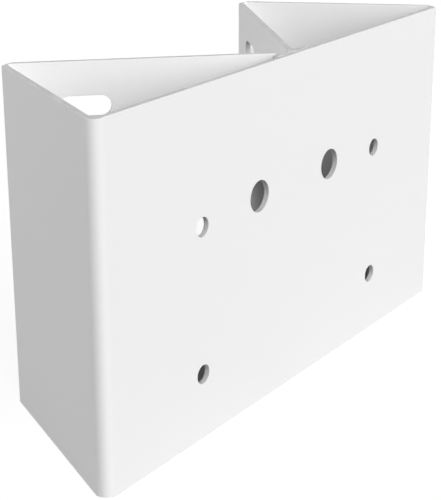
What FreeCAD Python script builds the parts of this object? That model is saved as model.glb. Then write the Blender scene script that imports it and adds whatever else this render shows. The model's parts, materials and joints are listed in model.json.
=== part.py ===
import FreeCAD, Part
import math
import os
import Sketcher

# Corner wall bracket for a camera, folded from one steel sheet.
# Seen from above it is a front plate with two side plates that lean inwards,
# and two wall plates that run forward again at 45 degrees, so that the
# bracket straddles the outer corner of a building. Each wall plate ends in a
# short lip, folded back against the rear of the front plate.
# X runs along the front plate, Y from the front plate to the building, Z up.
# The origin is on the lower rim, half way across and on the front face.

SIZES = {
    # sheet and overall form
    "bracket_width": 209.5,
    "bracket_height": 120.0,
    "sheet_thickness": 2.0,
    "bend_radius": 1.6,
    "side_angle": 61.8,
    "wall_angle": 45.0,
    # the lips that close the two wall plates against the front plate
    "lip_bend_radius": 1.0,
    "lip_length": 3.0,
    "lip_gap": 0.2,
    "centre_gap": 6.0,
    # screw holes for the camera arm, in the front plate
    "camera_hole_diameter": 6.6,
    "camera_hole_spacing": 110.0,
    "camera_hole_low": 23.0,
    "camera_hole_rise": 51.0,
    # cable holes in the front plate
    "cable_hole_diameter": 11.0,
    "cable_hole_spacing": 45.0,
    "cable_hole_height": 75.5,
    # fixing slots and cable hole in each wall plate, measured along the plate
    # from the line where the two wall faces would meet
    "wall_slot_width": 7.2,
    "wall_slot_length": 17.4,
    "wall_slot_from_corner": 69.0,
    "wall_slot_from_rim": 15.3,
    "wall_cable_diameter": 11.0,
    "wall_cable_from_corner": 32.0,
    "wall_cable_height": 60.0,
}

doc = FreeCAD.newDocument("corner_bracket")
sheet = doc.addObject("Spreadsheet::Sheet", "sizes")
for row, (name, value) in enumerate(SIZES.items(), start=1):
    sheet.set(f"A{row}", name)
    sheet.set(f"B{row}", str(value))
    sheet.setAlias(f"B{row}", name)
doc.recompute()

body = doc.addObject("PartDesign::Body", "bracket")
body.Label = "bracket"


def origin_plane(role):
    """One of the body's own origin planes or axes, by its role."""
    return next(item for item in body.Origin.OriginFeatures if item.Role == role)


def new_sketch(name, role):
    sketch = body.newObject("Sketcher::SketchObject", name)
    sketch.AttachmentSupport = (origin_plane(role), [""])
    sketch.MapMode = "FlatFace"
    return sketch


def drive(sketch, name, kind, *arguments, by):
    """Adds a named dimension whose value follows an expression."""
    index = sketch.addConstraint(Sketcher.Constraint(kind, *arguments))
    sketch.renameConstraint(index, name)
    sketch.setExpression(f"Constraints.{name}", by)


def vector(point):
    return FreeCAD.Vector(point[0], point[1], 0)


def line(sketch, start, end):
    return sketch.addGeometry(Part.LineSegment(vector(start), vector(end)))


def arc(sketch, centre, radius, first, last):
    """A round stretch, counter-clockwise between two angles in degrees."""
    circle = Part.Circle(vector(centre), FreeCAD.Vector(0, 0, 1), radius)
    return sketch.addGeometry(Part.ArcOfCircle(circle, math.radians(first), math.radians(last)))


def around(centre, radius, angle):
    turn = math.radians(angle)
    return (centre[0] + radius * math.cos(turn), centre[1] + radius * math.sin(turn))


# The outside radius of the folds, and the depth behind the front face of the
# line where the two wall faces would meet, as expressions of the sizes.
FOLD_OUTSIDE = "(sizes.bend_radius + sizes.sheet_thickness)"
LIP_OUTSIDE = "(sizes.lip_bend_radius + sizes.sheet_thickness)"
LIP_FACE = "(sizes.sheet_thickness + sizes.lip_gap)"
WALL_TURN = "sizes.wall_angle * 1 deg"
CORNER_DEPTH = (
    f"({LIP_FACE} + {LIP_OUTSIDE} * (1 + 1 / cos({WALL_TURN}))"
    f" - (sizes.centre_gap / 2 + {LIP_OUTSIDE}) * tan({WALL_TURN}))"
)

# Half of the folded section, from the centre line round to the lip's end and
# back along the other face of the sheet. The start positions are worked out
# from the sizes and the constraints then hold them.
thickness = SIZES["sheet_thickness"]
fold_outside = SIZES["bend_radius"] + thickness
lip_outside = SIZES["lip_bend_radius"] + thickness
side_normal = SIZES["side_angle"] + 90
wall_normal = 90 - SIZES["wall_angle"]

front_fold = (fold_outside - SIZES["bracket_width"] / 2, fold_outside)
lip_face = thickness + SIZES["lip_gap"]
lip_fold = (-SIZES["centre_gap"] / 2 - lip_outside, lip_face + lip_outside)

# The rear fold lies where the side plate and the wall plate meet.
side_slope = math.tan(math.radians(SIZES["side_angle"]))
wall_slope = math.tan(math.radians(SIZES["wall_angle"]))
wall_start = around(lip_fold, lip_outside - fold_outside, wall_normal)
span = wall_start[0] - front_fold[0]
rise = wall_start[1] - front_fold[1]
rear_run = (rise + span * wall_slope) / (side_slope + wall_slope)
rear_fold = (front_fold[0] + rear_run, front_fold[1] + rear_run * side_slope)

section = new_sketch("section", "XY_Plane")
lip_end = lip_fold[0] - SIZES["lip_length"]
fold_inside = SIZES["bend_radius"]
lip_inside = SIZES["lip_bend_radius"]

front_face = line(section, (0, 0), (front_fold[0], 0))
front_arc = arc(section, front_fold, fold_outside, side_normal, 270)
side_face = line(
    section,
    around(front_fold, fold_outside, side_normal),
    around(rear_fold, fold_outside, side_normal),
)
rear_arc = arc(section, rear_fold, fold_outside, wall_normal, side_normal)
wall_face = line(
    section,
    around(rear_fold, fold_outside, wall_normal),
    around(lip_fold, lip_outside, wall_normal),
)
lip_arc = arc(section, lip_fold, lip_outside, -90, wall_normal)
lip_front = line(section, (lip_fold[0], lip_face), (lip_end, lip_face))
lip_edge = line(section, (lip_end, lip_face), (lip_end, lip_face + thickness))
lip_back = line(section, (lip_end, lip_face + thickness), (lip_fold[0], lip_face + thickness))
lip_arc_inside = arc(section, lip_fold, lip_inside, -90, wall_normal)
wall_inside = line(
    section,
    around(lip_fold, lip_inside, wall_normal),
    around(rear_fold, fold_inside, wall_normal),
)
rear_arc_inside = arc(section, rear_fold, fold_inside, wall_normal, side_normal)
side_inside = line(
    section,
    around(rear_fold, fold_inside, side_normal),
    around(front_fold, fold_inside, side_normal),
)
front_arc_inside = arc(section, front_fold, fold_inside, side_normal, 270)
front_inside = line(section, (front_fold[0], thickness), (0, thickness))
centre_edge = line(section, (0, thickness), (0, 0))

START, END, CENTRE = 1, 2, 3
ORIGIN = (-1, 1)

# Faces run smoothly into the folds at both ends.
for first, first_end, second, second_end in (
    (front_face, END, front_arc, END),
    (front_arc, START, side_face, START),
    (side_face, END, rear_arc, END),
    (rear_arc, START, wall_face, START),
    (wall_face, END, lip_arc, END),
    (lip_arc, START, lip_front, START),
    (lip_back, END, lip_arc_inside, START),
    (lip_arc_inside, END, wall_inside, START),
    (wall_inside, END, rear_arc_inside, START),
    (rear_arc_inside, END, side_inside, START),
    (side_inside, END, front_arc_inside, START),
    (front_arc_inside, END, front_inside, START),
):
    section.addConstraint(Sketcher.Constraint("Tangent", first, first_end, second, second_end))

for first, first_end, second, second_end in (
    (lip_front, END, lip_edge, START),
    (lip_edge, END, lip_back, START),
    (front_inside, END, centre_edge, START),
    (centre_edge, END, front_face, START),
    (front_face, START, *ORIGIN),
    (front_arc_inside, CENTRE, front_arc, CENTRE),
    (rear_arc_inside, CENTRE, rear_arc, CENTRE),
    (lip_arc_inside, CENTRE, lip_arc, CENTRE),
):
    section.addConstraint(Sketcher.Constraint("Coincident", first, first_end, second, second_end))

for flat in (front_face, front_inside, lip_front, lip_back):
    section.addConstraint(Sketcher.Constraint("Horizontal", flat))
for upright in (centre_edge, lip_edge):
    section.addConstraint(Sketcher.Constraint("Vertical", upright))
section.addConstraint(Sketcher.Constraint("Equal", rear_arc, front_arc))
section.addConstraint(Sketcher.Constraint("Equal", rear_arc_inside, front_arc_inside))

drive(section, "fold_outside", "Radius", front_arc, fold_outside, by=FOLD_OUTSIDE)
drive(section, "lip_outside", "Radius", lip_arc, lip_outside, by=LIP_OUTSIDE)
drive(section, "sheet", "DistanceY", centre_edge, END, centre_edge, START, thickness,
      by="sizes.sheet_thickness")
drive(section, "lip_sheet", "DistanceY", lip_edge, START, lip_edge, END, thickness,
      by="sizes.sheet_thickness")
drive(section, "half_width", "DistanceX", front_arc, CENTRE, *ORIGIN, -front_fold[0],
      by=f"sizes.bracket_width / 2 - {FOLD_OUTSIDE}")
drive(section, "half_gap", "DistanceX", lip_arc, CENTRE, *ORIGIN, -lip_fold[0],
      by=f"sizes.centre_gap / 2 + {LIP_OUTSIDE}")
drive(section, "lip_seat", "DistanceY", *ORIGIN, lip_front, START, lip_face, by=LIP_FACE)
drive(section, "lip_run", "DistanceX", lip_front, END, lip_front, START, SIZES["lip_length"],
      by="sizes.lip_length")
drive(section, "side_lean", "Angle", side_face, math.radians(SIZES["side_angle"]),
      by="sizes.side_angle * 1 deg")
drive(section, "wall_lean", "Angle", wall_face, -math.radians(SIZES["wall_angle"]),
      by=f"-{WALL_TURN}")

folded_half = body.newObject("PartDesign::Pad", "folded_half")
folded_half.Profile = section
folded_half.setExpression("Length", "sizes.bracket_height")
doc.recompute()


def circle(sketch, name, place, diameter, across, up, size):
    """A round hole whose centre and diameter follow expressions."""
    x, y = place
    hole = sketch.addGeometry(Part.Circle(vector(place), FreeCAD.Vector(0, 0, 1), diameter / 2))
    drive(sketch, f"{name}_diameter", "Diameter", hole, diameter, by=size)
    if x < 0:
        drive(sketch, f"{name}_across", "DistanceX", hole, CENTRE, *ORIGIN, -x, by=across)
    else:
        drive(sketch, f"{name}_across", "DistanceX", *ORIGIN, hole, CENTRE, x, by=across)
    drive(sketch, f"{name}_up", "DistanceY", *ORIGIN, hole, CENTRE, y, by=up)


# Left half of the hole pattern in the front plate: two screw holes for the
# camera arm, one above the other, and a larger hole for its cable.
front_pattern = new_sketch("front_pattern", "XZ_Plane")
screw_x = -SIZES["camera_hole_spacing"] / 2
circle(
    front_pattern, "low_screw", (screw_x, SIZES["camera_hole_low"]),
    SIZES["camera_hole_diameter"],
    across="sizes.camera_hole_spacing / 2",
    up="sizes.camera_hole_low",
    size="sizes.camera_hole_diameter",
)
circle(
    front_pattern, "high_screw", (screw_x, SIZES["camera_hole_low"] + SIZES["camera_hole_rise"]),
    SIZES["camera_hole_diameter"],
    across="sizes.camera_hole_spacing / 2",
    up="sizes.camera_hole_low + sizes.camera_hole_rise",
    size="sizes.camera_hole_diameter",
)
circle(
    front_pattern, "cable", (-SIZES["cable_hole_spacing"] / 2, SIZES["cable_hole_height"]),
    SIZES["cable_hole_diameter"],
    across="sizes.cable_hole_spacing / 2",
    up="sizes.cable_hole_height",
    size="sizes.cable_hole_diameter",
)
front_holes = body.newObject("PartDesign::Pocket", "front_holes")
front_holes.Profile = front_pattern
front_holes.setExpression("Length", "sizes.sheet_thickness")
doc.recompute()


def slot(sketch, name, place, up):
    """A round-ended slot lying along the plate, fixed by its middle."""
    x, y = place
    radius = SIZES["wall_slot_width"] / 2
    reach = SIZES["wall_slot_length"] / 2 - radius
    near_end = arc(sketch, (x - reach, y), radius, 90, 270)
    far_end = arc(sketch, (x + reach, y), radius, -90, 90)
    top = line(sketch, (x - reach, y + radius), (x + reach, y + radius))
    bottom = line(sketch, (x - reach, y - radius), (x + reach, y - radius))
    sketch.addConstraint(Sketcher.Constraint("Tangent", near_end, START, top, START))
    sketch.addConstraint(Sketcher.Constraint("Tangent", near_end, END, bottom, START))
    sketch.addConstraint(Sketcher.Constraint("Tangent", far_end, END, top, END))
    sketch.addConstraint(Sketcher.Constraint("Tangent", far_end, START, bottom, END))
    sketch.addConstraint(Sketcher.Constraint("Horizontal", top))
    sketch.addConstraint(Sketcher.Constraint("Equal", near_end, far_end))
    drive(sketch, f"{name}_width", "Radius", near_end, radius, by="sizes.wall_slot_width / 2")
    drive(sketch, f"{name}_length", "DistanceX", near_end, CENTRE, far_end, CENTRE, 2 * reach,
          by="sizes.wall_slot_length - sizes.wall_slot_width")
    drive(sketch, f"{name}_across", "DistanceX", *ORIGIN, far_end, CENTRE, x + reach,
          by="sizes.wall_slot_from_corner"
             " + (sizes.wall_slot_length - sizes.wall_slot_width) / 2")
    drive(sketch, f"{name}_up", "DistanceY", *ORIGIN, far_end, CENTRE, y, by=up)


# Openings of the left wall plate, drawn on its rear face: the sketch stands
# on the line where the two wall faces would meet and runs out along the plate.
wall_pattern = new_sketch("wall_pattern", "XZ_Plane")
wall_pattern.AttachmentOffset = FreeCAD.Placement(
    FreeCAD.Vector(0, 0, 0),
    FreeCAD.Rotation(FreeCAD.Vector(0, 1, 0), 180 - SIZES["wall_angle"]),
)
wall_pattern.setExpression("AttachmentOffset.Rotation.Angle", f"180 deg - {WALL_TURN}")
wall_pattern.setExpression("AttachmentOffset.Base.z", f"-{CORNER_DEPTH}")
slot(
    wall_pattern, "low_slot",
    (SIZES["wall_slot_from_corner"], SIZES["wall_slot_from_rim"]),
    up="sizes.wall_slot_from_rim",
)
slot(
    wall_pattern, "high_slot",
    (SIZES["wall_slot_from_corner"], SIZES["bracket_height"] - SIZES["wall_slot_from_rim"]),
    up="sizes.bracket_height - sizes.wall_slot_from_rim",
)
circle(
    wall_pattern, "wall_cable", (SIZES["wall_cable_from_corner"], SIZES["wall_cable_height"]),
    SIZES["wall_cable_diameter"],
    across="sizes.wall_cable_from_corner",
    up="sizes.wall_cable_height",
    size="sizes.wall_cable_diameter",
)
wall_openings = body.newObject("PartDesign::Pocket", "wall_openings")
wall_openings.Profile = wall_pattern
wall_openings.setExpression("Length", "sizes.sheet_thickness")
doc.recompute()

# The right half is the left one mirrored in the centre plane, so the front
# plate runs through in one piece.
whole = body.newObject("PartDesign::Mirrored", "whole")
whole.Originals = [folded_half, front_holes, wall_openings]
whole.MirrorPlane = (origin_plane("YZ_Plane"), [""])
body.Tip = whole
doc.recompute()

for item in doc.Objects:
    if "Invalid" in item.State or "Error" in item.State:
        raise RuntimeError(f"{item.Name} failed: {item.State}")
for drawn in (section, front_pattern, wall_pattern):
    if drawn.solve() != 0:
        raise RuntimeError(f"{drawn.Name} does not solve")
if body.Shape.isNull() or not body.Shape.isValid() or len(body.Shape.Solids) != 1:
    raise RuntimeError("the bracket is not one valid solid")

os.makedirs("parts", exist_ok=True)
body.Shape.exportStep(f"parts/{body.Label}.step")

box = body.Shape.BoundBox
print(f"bracket {box.XLength:.2f} x {box.YLength:.2f} x {box.ZLength:.2f} mm,"
      f" volume {body.Shape.Volume / 1000:.2f} cm3, faces {len(body.Shape.Faces)}")
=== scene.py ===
import bmesh
import bpy
import json
import math
from mathutils import Matrix, Vector
from mathutils.bvhtree import BVHTree


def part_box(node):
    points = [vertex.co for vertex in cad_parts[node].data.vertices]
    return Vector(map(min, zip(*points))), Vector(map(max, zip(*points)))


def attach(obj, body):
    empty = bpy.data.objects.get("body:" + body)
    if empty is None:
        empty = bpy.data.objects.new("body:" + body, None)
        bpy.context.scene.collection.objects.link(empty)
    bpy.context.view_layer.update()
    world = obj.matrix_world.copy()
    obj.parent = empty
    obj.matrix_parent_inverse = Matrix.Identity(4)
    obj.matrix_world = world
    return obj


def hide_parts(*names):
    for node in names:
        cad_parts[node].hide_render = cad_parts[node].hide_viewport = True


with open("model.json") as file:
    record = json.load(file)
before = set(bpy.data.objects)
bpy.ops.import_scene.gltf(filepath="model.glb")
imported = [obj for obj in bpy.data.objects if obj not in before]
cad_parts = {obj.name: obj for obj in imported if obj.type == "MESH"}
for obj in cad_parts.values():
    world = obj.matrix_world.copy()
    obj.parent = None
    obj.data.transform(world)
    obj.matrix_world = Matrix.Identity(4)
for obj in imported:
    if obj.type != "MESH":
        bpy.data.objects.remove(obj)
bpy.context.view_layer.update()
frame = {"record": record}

# The bracket: one steel sheet that sits astride the outer corner of a building.
# It is laser cut, folded on a press brake and then powder coated, so its cut
# edges and holes are softened by the coat and its folds are smooth and round.
bpy.ops.object.select_all(action="DESELECT")

MM = 0.001
sheet_thickness = 2.0 * MM
skin = sheet_thickness / 2
fold_radius = 1.6 * MM + skin
lip_fold_radius = 1.0 * MM + skin
fold_steps = 28
side_angle = math.radians(61.8)
wall_angle = math.radians(45)
lip_length = 3.0 * MM
lip_gap = 0.2 * MM
centre_gap = 6.0 * MM
same_place = 0.001 * MM
bracket_low, bracket_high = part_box("bracket")
half_width = (bracket_high.x - bracket_low.x) / 2
up = Vector((0, 0, 1))
forward = Vector((0, -1, 0))

# Everything is drawn on the middle of the sheet, a skin's depth from either
# face. The front fold's centre follows from the bracket's width, and the lip's
# from the gap at the centre.
front_fold = Vector((
    fold_radius + skin - half_width,
    bracket_low.y + fold_radius + skin,
    0,
))
lip_seat = bracket_low.y + sheet_thickness + lip_gap
lip_fold = Vector((
    -centre_gap / 2 - skin - lip_fold_radius,
    lip_seat + skin + lip_fold_radius,
    0,
))
side_run = Vector((math.cos(side_angle), math.sin(side_angle), 0))
side_out = Vector((-math.sin(side_angle), math.cos(side_angle), 0))
wall_run = Vector((math.cos(wall_angle), -math.sin(wall_angle), 0))
wall_out = Vector((math.sin(wall_angle), math.cos(wall_angle), 0))

# The rear fold lies where the side plate and the wall plate meet.
wall_line = lip_fold + wall_out * (lip_fold_radius - fold_radius)
span = wall_line - front_fold
side_length = (
    (span.x * wall_run.y - span.y * wall_run.x)
    / (side_run.x * wall_run.y - side_run.y * wall_run.x)
)
rear_fold = front_fold + side_run * side_length
wall_length = (wall_line - rear_fold).length


def run_straight(direction, length):
    """Draws the sheet's free edge on along a flat plate."""
    move = {"value": direction * length}
    bpy.ops.mesh.extrude_region_move(TRANSFORM_OT_translate=move)


def fold_round(centre, turn):
    """Turns the sheet's free edge round the middle of a fold."""
    bpy.ops.mesh.spin(steps=fold_steps, angle=turn, center=centre, axis=up)


# Half of the front plate stands up first, and each extrusion or spin of its
# free edge then adds the next flat or fold of the sheet.
plate_end = Vector((front_fold.x, bracket_low.y + skin, 0))
bpy.ops.mesh.primitive_plane_add(size=1)
bracket = bpy.context.object
bracket.name = "bracket_sheet"
bpy.ops.object.mode_set(mode="EDIT")
sheet = bmesh.from_edit_mesh(bracket.data)
corners = sorted(sheet.verts, key=lambda corner: (corner.co.x, corner.co.y))
places = (
    Vector((plate_end.x, plate_end.y, bracket_low.z)),
    Vector((plate_end.x, plate_end.y, bracket_high.z)),
    Vector((0, plate_end.y, bracket_low.z)),
    Vector((0, plate_end.y, bracket_high.z)),
)
for corner, place in zip(corners, places):
    corner.co = place
bmesh.update_edit_mesh(bracket.data)
bpy.ops.mesh.select_mode(type="EDGE")
for item in (*sheet.verts, *sheet.edges, *sheet.faces):
    item.select = False
for edge in sheet.edges:
    if all(abs(corner.co.x - plate_end.x) < same_place for corner in edge.verts):
        edge.select = True
sheet.select_flush_mode()
bmesh.update_edit_mesh(bracket.data)

fold_round(front_fold, math.pi - side_angle)
run_straight(side_run, side_length)
fold_round(rear_fold, side_angle + wall_angle)
run_straight(wall_run, wall_length)
fold_round(lip_fold, math.pi - wall_angle)
run_straight(Vector((-1, 0, 0)), lip_length)
bpy.ops.object.mode_set(mode="OBJECT")


def apply_modifier(kind, name, **settings):
    """Adds a modifier to the active piece, sets it up and applies it."""
    modifier = bpy.context.object.modifiers.new(name, kind)
    for setting, value in settings.items():
        setattr(modifier, setting, value)
    bpy.ops.object.modifier_apply(modifier=name)


apply_modifier(
    "MIRROR", "other half",
    use_axis=(True, False, False), merge_threshold=same_place,
)
bpy.ops.object.mode_set(mode="EDIT")
bpy.ops.mesh.select_all(action="SELECT")
bpy.ops.mesh.remove_doubles(threshold=same_place)
bpy.ops.mesh.normals_make_consistent(inside=False)
bpy.ops.object.mode_set(mode="OBJECT")
middle_sheet = BVHTree.FromPolygons(
    [corner.co for corner in bracket.data.vertices],
    [tuple(face.vertices) for face in bracket.data.polygons],
)
apply_modifier(
    "SOLIDIFY", "sheet",
    thickness=sheet_thickness, offset=0, use_even_offset=True,
)

# Folding stretches the outside of the sheet, which draws its cut edges in a
# little, most of all half way round each fold.
draw_in = 0.4 * MM
on_the_skin = 0.01 * MM
middle_height = (bracket_low.z + bracket_high.z) / 2
folds = (
    (front_fold, fold_radius, forward, side_out),
    (rear_fold, fold_radius, side_out, wall_out),
    (lip_fold, lip_fold_radius, wall_out, forward),
)
for corner in bracket.data.vertices:
    place = Vector((-abs(corner.co.x), corner.co.y, 0))
    for centre, radius, first, last in folds:
        offset = place - centre
        if abs(offset.length - radius - skin) < on_the_skin:
            way_round = offset.angle(first) / last.angle(first)
            pull = draw_in * math.sin(math.pi * way_round)
            corner.co.z += math.copysign(pull, middle_height - corner.co.z)

# The holes are cut by tools that reach right through a plate.
hole_steps = 96
punch_depth = 3 * sheet_thickness


def punch(name, place, direction, radius, slot_length=0.0):
    """Punches one hole or round-ended slot, lying level, through a plate."""
    bpy.ops.mesh.primitive_cylinder_add(
        vertices=hole_steps, radius=radius, depth=punch_depth,
    )
    tool = bpy.context.object
    tool.name = name
    bpy.ops.object.mode_set(mode="EDIT")
    shape = bmesh.from_edit_mesh(tool.data)
    half_stretch = max(slot_length / 2 - radius, 0)
    for corner in shape.verts:
        corner.co.x += math.copysign(half_stretch, corner.co.x)
    bmesh.update_edit_mesh(tool.data)
    bpy.ops.object.mode_set(mode="OBJECT")
    along = up.cross(direction)
    turn = Matrix((along, up, direction)).transposed().to_4x4()
    tool.data.transform(Matrix.Translation(place) @ turn)
    bpy.ops.object.select_all(action="DESELECT")
    bracket.select_set(True)
    bpy.context.view_layer.objects.active = bracket
    apply_modifier(
        "BOOLEAN", name, object=tool, operation="DIFFERENCE", solver="EXACT",
    )
    bpy.data.objects.remove(tool)


mounts = {mount["name"]: mount for mount in frame["record"]["mounts"]}


def mount_place(name):
    """Where a mount of the record lies and which way it faces."""
    mount = mounts[name]
    return Vector(mount["pos_m"]), Vector(mount["axis"]).normalized()


arm_centre, arm_axis = mount_place("camera_arm_holes")
arm = mounts["camera_arm_holes"]["dims"]
for side in (-1, 1):
    for level in (-1, 1):
        across = side * arm["spacing_x_mm"] / 2
        rise = level * arm["spacing_y_mm"] / 2
        place = arm_centre + Vector((across, 0, rise)) * MM
        punch("screw hole", place, arm_axis, arm["hole_r_mm"] * MM)
slot_length = 17.4 * MM
slot_radius = 3.6 * MM
for side in ("left", "right"):
    for name in (f"{side}_cable_hole", f"{side}_wall_cable_hole"):
        punch(name, *mount_place(name), mounts[name]["dims"]["r_mm"] * MM)
    for level in ("low", "high"):
        slot_place = mount_place(f"{side}_{level}_wall_slot")
        punch("slot", *slot_place, slot_radius, slot_length)

# The coat rounds every cut edge a little.
edge_softening = 0.15 * MM
cut_edge_angle = math.radians(40)
smooth_angle = math.radians(35)
apply_modifier(
    "BEVEL", "coated edges",
    width=edge_softening, segments=3, limit_method="ANGLE",
    angle_limit=cut_edge_angle, use_clamp_overlap=False,
)
bpy.ops.object.shade_smooth_by_angle(angle=smooth_angle)
apply_modifier("WEIGHTED_NORMAL", "flat plates", keep_sharp=True)

# Faces that lie well below the sheet's two skins are the cut ones: the rims and
# the walls of the holes. They are marked for the painted shade put on them.
cut = bracket.data.attributes.new("cut_edge", "FLOAT", "FACE")
for face in bracket.data.polygons:
    *_, from_middle = middle_sheet.find_nearest(face.center)
    depth = skin - from_middle
    cut.data[face.index].value = 1.0 if depth > edge_softening / 2 else 0.0

# White satin powder coat: smooth, with the faint orange peel of the fused
# powder, slightly uneven in gloss, and with painted shade on its cut edges.
coat = bpy.data.materials.new("powder_coat")
coat.use_nodes = True
nodes = coat.node_tree.nodes
links = coat.node_tree.links
shader = nodes["Principled BSDF"]
shader.inputs["Specular IOR Level"].default_value = 0.2
position = nodes.new("ShaderNodeTexCoord")


def coat_noise(scale, detail):
    """A noise that stays on the bracket, for the coat's small unevenness and the uneven
    painted edge shade.
    """
    noise = nodes.new("ShaderNodeTexNoise")
    noise.inputs["Scale"].default_value = scale
    noise.inputs["Detail"].default_value = detail
    links.new(position.outputs["Object"], noise.inputs["Vector"])
    return noise.outputs["Fac"]


def map_range(noise, low, high):
    """A range node that turns a noise into values from low to high."""
    mapped = nodes.new("ShaderNodeMapRange")
    mapped.inputs["To Min"].default_value = low
    mapped.inputs["To Max"].default_value = high
    links.new(noise, mapped.inputs["Value"])
    return mapped


# The cut edges, rims and hole walls, get painted shade: the coat's white is mixed towards
# a grey there, more or less strongly by a noise.
full_coat = (0.86, 0.86, 0.86, 1)
edge_shade = (0.58, 0.58, 0.58, 1)
cut_edge = nodes.new("ShaderNodeAttribute")
cut_edge.attribute_name = "cut_edge"
# How far each cut edge goes towards the grey of the painted shade, varied by a noise.
edge_shade_strength = map_range(coat_noise(scale=180, detail=2), low=0.7, high=1.0)
edge_shade_strength.inputs["From Min"].default_value = 0.3
edge_shade_strength.inputs["From Max"].default_value = 0.7
shaded_edge = nodes.new("ShaderNodeMath")
shaded_edge.operation = "MULTIPLY"
links.new(cut_edge.outputs["Fac"], shaded_edge.inputs[0])
links.new(edge_shade_strength.outputs["Result"], shaded_edge.inputs[1])
coat_and_edge_shade = nodes.new("ShaderNodeMix")
coat_and_edge_shade.data_type = "RGBA"
coat_and_edge_shade.inputs["A"].default_value = full_coat
coat_and_edge_shade.inputs["B"].default_value = edge_shade
links.new(shaded_edge.outputs["Value"], coat_and_edge_shade.inputs["Factor"])
links.new(coat_and_edge_shade.outputs["Result"], shader.inputs["Base Color"])

orange_peel = nodes.new("ShaderNodeBump")
orange_peel.inputs["Strength"].default_value = 0.12
orange_peel.inputs["Distance"].default_value = 0.1 * MM
links.new(coat_noise(scale=620, detail=3), orange_peel.inputs["Height"])
links.new(orange_peel.outputs["Normal"], shader.inputs["Normal"])

roughness = map_range(coat_noise(scale=45, detail=4), low=0.40, high=0.50)
links.new(roughness.outputs["Result"], shader.inputs["Roughness"])
bracket.data.materials.append(coat)

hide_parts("bracket")
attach(bracket, "root")

# The floor: a wide pale sheet of studio paper. The camera and reflections see
# it white, with the bracket's soft shadow kept on it.
bpy.ops.object.select_all(action="DESELECT")
floor_width = 6.0
floor_place = (0, 0, bracket_low.z)
bpy.ops.mesh.primitive_plane_add(size=floor_width, location=floor_place)
floor = bpy.context.object
floor.name = "floor"
paper = bpy.data.materials.new("studio_paper")
paper.use_nodes = True
paper_nodes = paper.node_tree.nodes
paper_links = paper.node_tree.links
paper_nodes.remove(paper_nodes["Principled BSDF"])
matt = paper_nodes.new("ShaderNodeBsdfDiffuse")
matt.inputs["Color"].default_value = (0.25, 0.25, 0.25, 1)
shadow_part = paper_nodes.new("ShaderNodeBsdfDiffuse")
shadow_part.inputs["Color"].default_value = (0.18, 0.18, 0.18, 1)
white_part = paper_nodes.new("ShaderNodeEmission")
white_part.inputs["Strength"].default_value = 0.89
seen_paper = paper_nodes.new("ShaderNodeAddShader")
paper_links.new(shadow_part.outputs["BSDF"], seen_paper.inputs[0])
paper_links.new(white_part.outputs["Emission"], seen_paper.inputs[1])


def seen_directly(tree):
    """1 for rays that look, also by mirror or glass, and 0 for those that light."""
    rays = tree.nodes.new("ShaderNodeLightPath")
    seen = rays.outputs["Is Camera Ray"]
    for ray in ("Is Glossy Ray", "Is Transmission Ray"):
        either = tree.nodes.new("ShaderNodeMath")
        either.operation = "MAXIMUM"
        tree.links.new(seen, either.inputs[0])
        tree.links.new(rays.outputs[ray], either.inputs[1])
        seen = either.outputs["Value"]
    return seen


choice = paper_nodes.new("ShaderNodeMixShader")
paper_links.new(seen_directly(paper.node_tree), choice.inputs["Fac"])
paper_links.new(matt.outputs["BSDF"], choice.inputs[1])
paper_links.new(seen_paper.outputs["Shader"], choice.inputs[2])
paper_end = paper_nodes["Material Output"]
paper_links.new(choice.outputs["Shader"], paper_end.inputs["Surface"])
floor.data.materials.append(paper)

# The camera stands where the photograph was taken from, far to the left and a
# little above the bracket.
camera_azimuth = math.radians(-55.252)
camera_elevation = math.radians(19.209)
camera_data = bpy.data.cameras.new("camera")
camera_data.lens = 99.30
camera_data.shift_x = -0.0194
camera_data.shift_y = -0.0582
camera = bpy.data.objects.new("camera", camera_data)
camera.location = (-0.38635, -0.24040, 0.21872)
camera.rotation_euler = (math.pi / 2 - camera_elevation, 0, camera_azimuth)
bpy.context.scene.collection.objects.link(camera)
bpy.context.scene.camera = camera

# Soft studio light: a very wide key lamp from the front left, a weaker one
# from behind on the left, a faint one from the right, and a faint even
# surround that the camera and reflections see as white.
world = bpy.data.worlds.new("studio")
world.use_nodes = True
world_nodes = world.node_tree.nodes
world_links = world.node_tree.links
surround = world_nodes["Background"]
surround.inputs["Color"].default_value = (1, 1, 1, 1)
surround_level = world_nodes.new("ShaderNodeMapRange")
surround_level.inputs["To Min"].default_value = 0.04
surround_level.inputs["To Max"].default_value = 1.0
world_links.new(seen_directly(world.node_tree), surround_level.inputs["Value"])
world_links.new(surround_level.outputs["Result"], surround.inputs["Strength"])
bpy.context.scene.world = world


def add_lamp(name, azimuth, elevation, spread, level):
    """Adds a wide distant lamp. Azimuth 0 is straight in front and grows to the right."""
    turn, rise = math.radians(azimuth), math.radians(elevation)
    towards = Vector((
        math.sin(turn) * math.cos(rise),
        -math.cos(turn) * math.cos(rise),
        math.sin(rise),
    ))
    lamp_data = bpy.data.lights.new(name, "SUN")
    lamp_data.angle = math.radians(spread)
    lamp_data.energy = math.pi * level
    lamp = bpy.data.objects.new(name, lamp_data)
    lamp.rotation_euler = towards.to_track_quat("Z", "Y").to_euler()
    bpy.context.scene.collection.objects.link(lamp)


add_lamp("key_lamp", azimuth=-22, elevation=30, spread=60, level=1.04)
add_lamp("side_lamp", azimuth=78, elevation=6, spread=60, level=0.36)
add_lamp("back_lamp", azimuth=-160, elevation=8, spread=40, level=0.59)

bpy.context.scene.view_settings.view_transform = "Standard"
